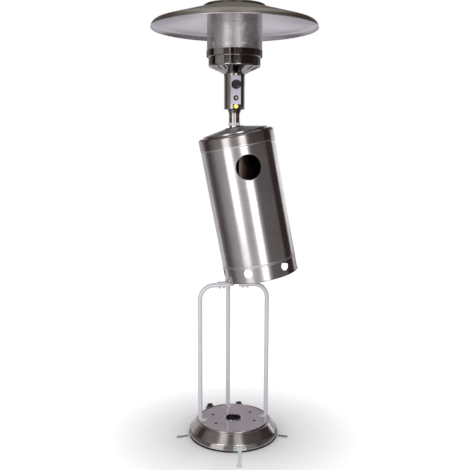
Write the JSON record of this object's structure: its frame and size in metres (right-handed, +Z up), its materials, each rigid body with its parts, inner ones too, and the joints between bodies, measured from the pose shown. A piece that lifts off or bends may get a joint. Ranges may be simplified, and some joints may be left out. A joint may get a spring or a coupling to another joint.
{
  "type": "gas patio heater",
  "caption": "Free-standing gas patio heater with round base and wheels, bent-tube bottle frame, sliding and tipping bottle cover, pole, burner head and wide reflector.",
  "frame": {"origin": "on the floor, on the axis of the pole", "axes": "+Z up the pole; -Y is the front with the controls; +X is the right-hand post"},
  "size_m": [0.8156, 0.8156, 2.1928],
  "materials": {
    "base_steel": "spun and brushed round the axis",
    "plate_steel": "bright brushed",
    "black_rubber": "matt black",
    "screw_steel": "zinc plated",
    "post_paint": "light grey, half gloss",
    "hub_steel": "light grey, half gloss",
    "pole_steel": "polished",
    "housing_steel": "dark, brushed round the axis",
    "panel_steel": "satin",
    "bowl_steel": "polished",
    "screen_steel": "perforated, heat proof",
    "reflector_metal": "satin, brighter below",
    "reflector_cap_metal": "satin, dark",
    "brass": "turned",
    "copper_pipe": "drawn",
    "valve_metal": "cast",
    "knob_plastic": "fine matt",
    "white_paint": "gloss",
    "button_plastic": "cream gloss",
    "switch_plastic": "plain",
    "burner_steel": "heat-resisting",
    "cover_steel": "bright, brushed round the axis",
    "hole_trim": "rolled edge",
    "wheel_plastic": "matt black",
    "bracket_paint": "black",
    "axle_steel": "plain",
    "anchor_steel": "zinc plated"
  },
  "bodies": {
    "stand": {"base_shell": "base_steel", "base_plate": "plate_steel", "base_edge_trim": "black_rubber", "base_screws": "screw_steel", "foot_bolts": "screw_steel", "foot_nuts": "screw_steel", "hub_bolts": "screw_steel", "hub_nuts": "screw_steel", "neck_screws": "screw_steel", "housing_screws": "screw_steel", "reflector_studs": "screw_steel", "stud_spacers": "screw_steel", "wing_nuts": "screw_steel", "post_left": "post_paint", "post_right": "post_paint", "post_back": "post_paint", "hub": "hub_steel", "pole_flange": "hub_steel", "pole": "pole_steel", "head_neck": "pole_steel", "control_housing": "housing_steel", "control_panel": "panel_steel", "burner_bowl": "bowl_steel", "burner_band": "bowl_steel", "emitter_screen": "screen_steel", "screen_cap": "screen_steel", "reflector": "reflector_metal", "reflector_cap": "reflector_cap_metal", "gas_inlet": "brass", "injector": "brass", "gas_pipe": "copper_pipe", "pilot_tube": "copper_pipe", "thermocouple": "copper_pipe", "valve_body": "valve_metal", "igniter_body": "knob_plastic", "tilt_switch": "switch_plastic", "burner_support": "burner_steel", "burner_tube": "burner_steel", "burner_drum": "burner_steel", "pilot_bracket": "burner_steel", "spark_electrode": "burner_steel", "wheel_bracket": "bracket_paint", "wheel_axle": "axle_steel", "axle_caps": "axle_steel", "anchor_front": "anchor_steel", "anchor_right": "anchor_steel", "anchor_left": "anchor_steel"},
    "pole_ring": {"pole_ring": "pole_steel"},
    "lid_grommet": {"lid_grommet": "black_rubber"},
    "cover": {"cover_shell": "cover_steel", "cover_cap": "cover_steel", "cover_lid": "cover_steel", "hand_hole_trim": "hole_trim"},
    "push_rod": {"valve_push_rod": "valve_metal"},
    "knob": {"knob": "knob_plastic", "knob_dot": "white_paint", "valve_spindle": "valve_metal"},
    "igniter_button": {"igniter_button": "button_plastic"},
    "wheel_left": {"wheel_left": "wheel_plastic"},
    "wheel_right": {"wheel_right": "wheel_plastic"}
  },
  "joints": [
    {"name": "cover_lift", "type": "slide", "parent": "stand", "child": "pole_ring", "axis": [0, 0, 1], "range_m": [0, 0.027]},
    {"name": "cover_tilt", "type": "hinge", "parent": "pole_ring", "child": "lid_grommet", "pos_m": [0, 0, 1.59408], "axis": [0, 1, 0], "range_deg": [0, 22]},
    {"name": "cover_turn", "type": "hinge", "parent": "lid_grommet", "child": "cover", "pos_m": [0, 0, 1.59408], "axis": [-0.1908, 0, 0.9816], "continuous": true},
    {"name": "knob_push", "type": "slide", "parent": "stand", "child": "push_rod", "axis": [0, 1, 0], "range_m": [0, 0.004], "stiffness_N_per_m": 1500, "springref_m": -0.003},
    {"name": "knob_turn", "type": "hinge", "parent": "push_rod", "child": "knob", "pos_m": [0, -0.05, 1.79984], "axis": [0, -1, 0], "range_deg": [0, 210]},
    {"name": "igniter_press", "type": "slide", "parent": "stand", "child": "igniter_button", "axis": [0, 1, 0], "range_m": [0, 0.006], "stiffness_N_per_m": 1200, "springref_m": -0.004},
    {"name": "wheel_left_spin", "type": "hinge", "parent": "stand", "child": "wheel_left", "pos_m": [-0.083, 0.29, 0.026], "axis": [1, 0, 0], "continuous": true},
    {"name": "wheel_right_spin", "type": "hinge", "parent": "stand", "child": "wheel_right", "pos_m": [0.083, 0.29, 0.026], "axis": [1, 0, 0], "continuous": true}
  ]
}
